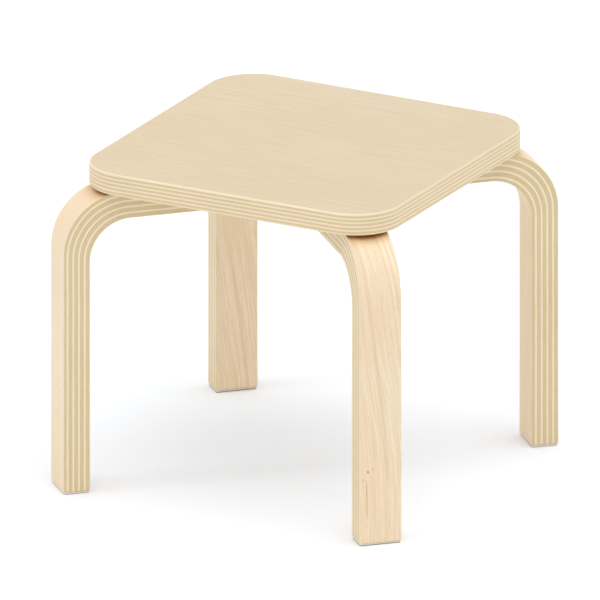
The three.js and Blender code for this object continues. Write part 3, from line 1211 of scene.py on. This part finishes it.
        (cosine, sine), (side, outward) = (pair.T for pair in corner_rays(self.arris_steps))
        inset, tilt, normal, way = inset[:, None], tilt[:, None], normal[:, None], way[:, None]
        face = np.where(outward[:, None] > 0, outer[:, None], inner[:, None])
        rise = self.arris * sine - outward * (self.arris + inset)
        flat = face + normal * rise[..., None]
        across = side * (self.width / 2 - self.arris - inset) + self.arris * cosine
        places = np.stack([flat[..., 0], across, flat[..., 1]], axis=2)
        facing = normal * (np.cos(tilt) * sine)[..., None] + way * np.sin(tilt)[..., None]
        normals = np.stack([facing[..., 0], np.cos(tilt) * cosine, facing[..., 1]], axis=2)
        depth = np.where(outward > 0, -rise, thickness - rise) / thickness * self.upright_thickness
        walked = np.broadcast_to(walked[:, None], across.shape)
        return places, normals, self.grain(walked, across, depth)

    def build(self) -> None:
        """Sweeps the section from the foot to the arm's end, and lets the bolt and screw holes into it.

        The outer and inner strips wear the face veneer and the two sides the cut edge, and each half of
        an arris wears what lies next to it. The arm's strips are cut flat, around the holes.
        """
        places, normals, grain = self.surface()
        columns = places.shape[1]
        steps = self.arris_steps + 1
        turn = np.linspace(0, QUARTER, steps)
        near_start = np.tile(np.append((turn[:-1] + turn[1:]) / 2 < QUARTER / 2, False), QUARTERS)
        slots = np.where(near_start == (np.arange(columns) // steps % 2 == 0), EDGE, FACE)
        outer_strip, left_side, inner_strip, right_side = steps * np.arange(1, QUARTERS + 1) - 1
        slots[[outer_strip, inner_strip]] = FACE
        slots[[left_side, right_side]] = EDGE

        arm = self.arm_row
        kept = np.ones((len(places) - 1, columns), bool)
        kept[arm, [outer_strip, inner_strip]] = False
        body = Patchwork(self.node.name)
        body.grid(places, normals, slots, grain, kept)

        guide = self.arm_grain
        rows = [arm, arm, arm + 1, arm + 1]
        tops, unders = (
            [places[rows, [strip, strip + 1, strip + 1, strip]]] for strip in (outer_strip, inner_strip)
        )
        step = self.counterbore - self.bolt_hole
        floor = self.underside + self.counterbore_depth
        for place in BoltPlace:
            bolt = Node(f"seat_bolt_{self.corner.title}_{place.value}")
            bore = Outline.circle(self.counterbore, self.hole_steps, bolt.reach)
            hole = Profile(step, self.top).to(step, floor).to(0, floor).to(0, self.underside)
            body.loft(bore, hole, EDGE, guide)
            tops.append(bore.ring(step, self.top))
            unders.append(bore.ring(0, self.underside))
        body.flat(tops, UP, FACE, guide)
        body.flat(unders, DOWN, FACE, guide)
        body.flat([places[-1]], INWARD, EDGE, guide)

        space = ScrewSpace(self.corner)
        body.loft(space.mouth, space.in_leg(self.bottom), EDGE, self.foot_grain)
        mouth = space.mouth.ring(space.inset_at(self.bottom), self.bottom)
        body.flat([places[0], mouth], DOWN, EDGE, self.foot_grain)
        body.build([LEG_FACE, LEG_EDGE], "leg_laminate", self.corner.turn)


@dataclass(frozen=True)
class Thread:
    """A helical ridge: a radius that rises from root to crest once for each pitch of height and turn."""

    root: float
    crest: float
    pitch: float
    rows_a_turn: int = 8
    fade_turns: float = 1.0
    roundness: float = 0.7

    def cut(self, body: Patchwork, x: float, bottom: float, top: float, steps: int) -> None:
        """Adds the threaded surface between two heights, with its normals from the grid's slopes.

        Its radius is root + (crest - root) * ridge, and the ridge is a rounded wave of height / pitch
        less the turn, which fades in and out at the ends.

        Args:
            body: The body that it is part of.
            x: The axis's place along X.
            bottom: Its lowest height.
            top: Its highest height.
            steps: How many points a ring has.
        """
        rows = round((top - bottom) / self.pitch * self.rows_a_turn) + 1
        heights = np.linspace(bottom, top, rows)
        phase = heights[:, None] / self.pitch - np.arange(steps) / steps
        wave = 0.5 - 0.5 * np.cos(TURN * phase)
        inside = np.minimum(heights - bottom, top - heights) / (self.fade_turns * self.pitch)
        ridge = wave**self.roundness * np.clip(inside, 0, 1)[:, None]
        radius = self.root + (self.crest - self.root) * ridge
        upright = np.broadcast_to(heights[:, None, None], (*radius.shape, 1))
        places = np.concatenate([radius[..., None] * even_rays(steps), upright], axis=2)
        beside = np.roll(places, -1, axis=1) - np.roll(places, 1, axis=1)
        normals = np.cross(beside, np.gradient(places, axis=0))
        normals /= np.linalg.norm(normals, axis=2)[..., None]
        body.grid(places + np.array([x, 0.0, 0.0]), normals)


@dataclass
class Fixing:
    """One bolted joint of an arm: a socket screw, its washer, and the threaded insert in the seat."""

    corner: Corner
    place: BoltPlace
    crown_radius: float = 2.9 * MM
    rim_height: float = 0.9 * MM
    head_height: float = 3.3 * MM
    socket_sides: int = 6
    socket_across_flats: float = 4 * MM
    socket_depth: float = 2 * MM
    shank_radius: float = 3 * MM
    thread_depth: float = 0.55 * MM
    thread_pitch: float = 1 * MM
    tip_chamfer: float = 0.8 * MM
    edge_break: float = 0.2 * MM
    bore_gap: float = 0.3 * MM
    ridge_depth: float = 0.7 * MM
    ridge_pitch: float = 3.3 * MM
    ridge_rows: int = 24
    ridge_fade: float = 0.4
    steps: int = 48
    dome_steps: int = 10
    break_steps: int = 3

    def __post_init__(self) -> None:
        """Finds the joint's three nodes."""
        self.bolt_node, self.washer_node, self.insert_node = (
            Node(f"{kind}_{self.corner.title}_{self.place.value}")
            for kind in ("seat_bolt", "washer", "threaded_insert")
        )
        self.reach = self.bolt_node.reach

    def bolt(self) -> None:
        """Makes the socket screw: a domed head with a hexagonal socket, and a threaded shank."""
        bottom, tip, radius = self.bolt_node.bottom, self.bolt_node.top, self.bolt_node.radius
        head_top = bottom + self.head_height
        root = self.shank_radius - self.thread_depth
        dome, small = radius - self.crown_radius, self.edge_break
        body = Patchwork(self.bolt_node.name)
        head = Outline.circle(radius, self.steps, self.reach)
        side = Profile(dome, bottom)
        side.arc(dome, self.head_height - self.rim_height, -QUARTER, 0, self.dome_steps)
        side.to(0, head_top - small).arc(small, small, 0, QUARTER, self.break_steps)
        body.loft(head, side.to(radius - root, head_top))

        corner_radius = self.socket_across_flats / 2 / math.cos(TURN / 2 / self.socket_sides)
        corners = np.array([self.reach, 0.0]) + corner_radius * even_rays(self.socket_sides)
        body.recess(head.ring(dome, bottom), Outline.cornered(corners), bottom, self.socket_depth)

        chamfer = tip - self.tip_chamfer
        thread = Thread(root, self.shank_radius, self.thread_pitch)
        thread.cut(body, self.reach, head_top, chamfer, self.steps)
        end = Profile(0, chamfer).to(self.tip_chamfer, tip).to(root, tip)
        body.loft(Outline.circle(root, self.steps, self.reach), end)
        body.build([ZincPlate()], "zinc_steel", self.corner.turn)

    def washer(self) -> None:
        """Makes the washer: a flat ring with broken edges, walked once round its section."""
        bottom, top, radius = self.washer_node.bottom, self.washer_node.top, self.washer_node.radius
        wall = radius - self.shank_radius - self.bore_gap
        side = Profile.eased(bottom, top, self.edge_break, self.break_steps)
        side.to(wall, top).to(wall, bottom).to(self.edge_break, bottom)
        body = Patchwork(self.washer_node.name)
        body.loft(Outline.circle(radius, self.steps, self.reach), side)
        body.build([ZincPlate()], "zinc_steel", self.corner.turn)

    def insert(self) -> None:
        """Makes the threaded insert: a bush with a coarse wood thread outside and a plain bore."""
        bottom, top, crest = self.insert_node.bottom, self.insert_node.top, self.insert_node.radius
        root = crest - self.ridge_depth
        wall = root - self.shank_radius - self.bore_gap
        outline = Outline.circle(root, self.steps, self.reach)
        body = Patchwork(self.insert_node.name)
        thread = Thread(root, crest, self.ridge_pitch, self.ridge_rows, self.ridge_fade)
        thread.cut(body, self.reach, bottom, top, self.steps)
        body.loft(outline, Profile(wall, bottom).to(0, bottom))
        body.loft(outline, Profile(0, top).to(wall, top).to(wall, bottom))
        body.build([TurnedBrass()], "insert_metal", self.corner.turn)

    def build(self) -> None:
        """Makes the bolt, its washer and its insert."""
        self.bolt()
        self.washer()
        self.insert()


@dataclass
class Foot:
    """What is under a leg: a thin rectangular glide and the countersunk screw that holds it."""

    corner: Corner
    inset: float = 0.6 * MM
    corner_radius: float = 1 * MM
    edge_ease: float = 0.3 * MM
    thread_depth: float = 0.4 * MM
    thread_pitch: float = 1.4 * MM
    thread_rows: int = 12
    thread_fade: float = 0.5
    tip_length: float = 3 * MM
    recess_length: float = 3.2 * MM
    recess_width: float = 0.7 * MM
    recess_depth: float = 0.8 * MM
    plain_shank: float = 1.5 * MM
    corner_steps: int = 8
    ease_steps: int = 4

    def __post_init__(self) -> None:
        """Takes the screw's sizes and place."""
        self.space = ScrewSpace(self.corner)

    def pad(self) -> None:
        """Makes the glide: a rounded rectangle with eased edges and a countersunk hole."""
        node, space, ease = Node(f"foot_pad_{self.corner.title}"), self.space, self.edge_ease
        bottom, top, mouth = node.bottom, node.top, space.mouth
        width, depth = (size - 2 * self.inset for size in (Leg.upright_thickness, Leg.width))
        outline = Outline.rounded(width, depth, self.corner_radius, self.corner_steps, space.reach)
        body = Patchwork(node.name)
        body.loft(outline, Profile.eased(bottom, top, ease, self.ease_steps))
        body.loft(mouth, space.in_pad(bottom, top))
        body.flat([outline.ring(ease, bottom), mouth.ring(0, bottom)], DOWN)
        body.flat([outline.ring(ease, top), mouth.ring(space.inset_at(top), top)], UP)
        body.build([MouldedNylon()], "nylon", self.corner.turn)

    def screw(self) -> None:
        """Makes the wood screw: a flat head with a cross recess, a cone, and a thread to a point."""
        space = self.space
        bottom, tip, reach, steps = space.screw.bottom, space.screw.top, space.reach, space.steps
        head = Outline.circle(space.head_radius, steps, reach)
        root = space.shank_radius - self.thread_depth
        thread_start, taper_start = space.cone_top + self.plain_shank, tip - self.tip_length
        side = Profile(0, bottom).to(0, space.cone_bottom).to(space.neck, space.cone_top)
        side.to(space.neck, thread_start).to(space.head_radius - root, thread_start)
        body = Patchwork(space.screw.name)
        body.loft(head, side)

        long, thin = self.recess_length / 2, self.recess_width / 2
        arm = np.array([[long, -thin], [long, thin], [thin, thin]])
        quarter = np.array([[0.0, 1.0], [-1.0, 0.0]])
        turned = [arm @ np.linalg.matrix_power(quarter, count) for count in range(QUARTERS)]
        cross = Outline.cornered(np.concatenate(turned) + np.array([reach, 0.0]))
        body.recess(head.ring(0, bottom), cross, bottom, self.recess_depth)

        thread = Thread(root, space.shank_radius, self.thread_pitch, self.thread_rows, self.thread_fade)
        thread.cut(body, reach, thread_start, taper_start, steps)
        body.loft(Outline.circle(root, steps, reach), Profile(0, taper_start).to(root, tip))
        body.build([ZincPlate()], "zinc_steel", self.corner.turn)

    def build(self) -> None:
        """Makes the pad and its screw."""
        self.pad()
        self.screw()


@dataclass(frozen=True)
class Lamp:
    """A soft lamp far away: the level that it lights the floor to, its place in the sky and its spread."""

    name: str
    level: float
    azimuth: float
    elevation: float
    spread: float

    def hang(self) -> None:
        """Adds the lamp, with the energy that gives its level on a flat floor."""
        data = bpy.data.lights.new(self.name, "SUN")
        data.energy = self.level * math.pi / math.sin(math.radians(self.elevation))
        data.angle = math.radians(self.spread)
        aim = towards(self.azimuth, self.elevation).to_track_quat("Z", "Y")
        put(self.name, data).matrix_world = aim.to_matrix().to_4x4()


@dataclass
class Studio:
    """The plain surroundings: a white floor that keeps the stool's shadow, soft light, and the camera."""

    azimuth: float = 27.93
    elevation: float = 19.14
    pixel: float = 0.7553 * MM
    frame_pixels: int = 600
    origin_pixel: Span = (304.75, 463.56)
    distance: float = 3.0
    floor_half_size: float = 6.0
    floor_paint: float = 0.9
    floor_shown: float = 1.0
    floor_glow: Triple = (0.02, 0.06, 0.115)
    horizon_level: float = 0.725
    zenith_level: float = 0.89
    lamps: tuple[Lamp, ...] = (
        Lamp("key", level=0.235, azimuth=71.0, elevation=78.0, spread=50.0),
        Lamp("side", level=0.04, azimuth=-47.0, elevation=42.0, spread=11.0),
    )

    def camera(self) -> None:
        """Makes the parallel camera, aimed so that the origin lands on its pixel."""
        around = math.radians(self.azimuth)
        right, back = Vector((math.cos(around), math.sin(around), 0)), towards(self.azimuth, self.elevation)
        up = back.cross(right)
        middle = self.frame_pixels / 2
        x, y = self.origin_pixel
        aim = right * (middle - x) * self.pixel + up * (y - middle) * self.pixel
        data = bpy.data.cameras.new("camera")
        data.type = "ORTHO"
        data.ortho_scale = self.frame_pixels * self.pixel
        camera = put("camera", data)
        axes = Matrix((right, up, back)).transposed().to_4x4()
        camera.matrix_world = Matrix.Translation(aim + back * self.distance) @ axes
        bpy.context.scene.camera = camera

    def floor_material(self) -> bpy.types.Material:
        """White paint that still takes a shadow: seen straight on or in a gloss, it glows a little too.

        From below it is clear, so that the underside can be seen.

        Returns:
            The material.
        """
        mix = Recipe(bpy.data.materials.new("studio_floor"))
        paint, shown = (
            mix.node("BsdfDiffuse", {"Color": (level, level, level, 1.0)})[0]
            for level in (self.floor_paint, self.floor_shown)
        )
        glow = mix.node("Emission", {"Color": (*self.floor_glow, 1.0), "Strength": 1.0})[0]
        shown = mix.node("AddShader", {0: shown, 1: glow})[0]
        surface = mix.node("MixShader", {0: mix.seen(), 1: paint, 2: shown})[0]
        under, ray = mix.node("NewGeometry", {})["Backfacing"], mix.node("LightPath", {})
        clear = mix.sum("MULTIPLY", under, ray["Is Camera Ray"])
        through = mix.node("BsdfTransparent", {})[0]
        surface = mix.node("MixShader", {0: clear, 1: surface, 2: through})[0]
        mix.feed(mix.tree.nodes["Material Output"].inputs["Surface"], surface)
        return mix.owner

    def floor(self) -> None:
        """Lays the floor, a square that reaches past the camera's view on every side."""
        half = self.floor_half_size
        mesh = bpy.data.meshes.new("floor")
        corners = [(-half, -half, 0), (half, -half, 0), (half, half, 0), (-half, half, 0)]
        mesh.from_pydata(corners, [], [(0, 1, 2, 3)])
        mesh.materials.append(self.floor_material())
        put("floor", mesh)

    def sky(self) -> None:
        """Lights the stool from all round: white where it is seen, and paler overhead than low down."""
        mix = Recipe(bpy.data.worlds.new("studio"))
        rise = mix.split(mix.node("TexCoord", {})["Generated"])[2]
        strength = mix.remap(rise, 0.0, 1.0, (self.horizon_level, self.zenith_level), eased=False)
        strengths = dict(zip(mix.NUMBERS, (strength, 1.0)))
        strength = mix.node("Mix", {"Factor": mix.seen(), **strengths})[0]
        background = mix.tree.nodes["Background"].inputs
        mix.feed(background["Strength"], strength)
        background["Color"].default_value = (1.0, 1.0, 1.0, 1.0)
        bpy.context.scene.world = mix.owner

    def build(self) -> None:
        """Sets up the camera, floor and light."""
        self.camera()
        self.floor()
        self.sky()
        for lamp in self.lamps:
            lamp.hang()
        bpy.context.scene.view_settings.view_transform = "Standard"


def main() -> None:
    """Builds the studio, the seat and each corner's pieces."""
    logging.basicConfig(level=logging.INFO, format="%(name)s: %(message)s")
    Studio().build()
    Seat().build()
    for corner in Corner:
        Leg(corner).build()
        Foot(corner).build()
        for place in BoltPlace:
            Fixing(corner, place).build()


if __name__ == "__main__":
    main()
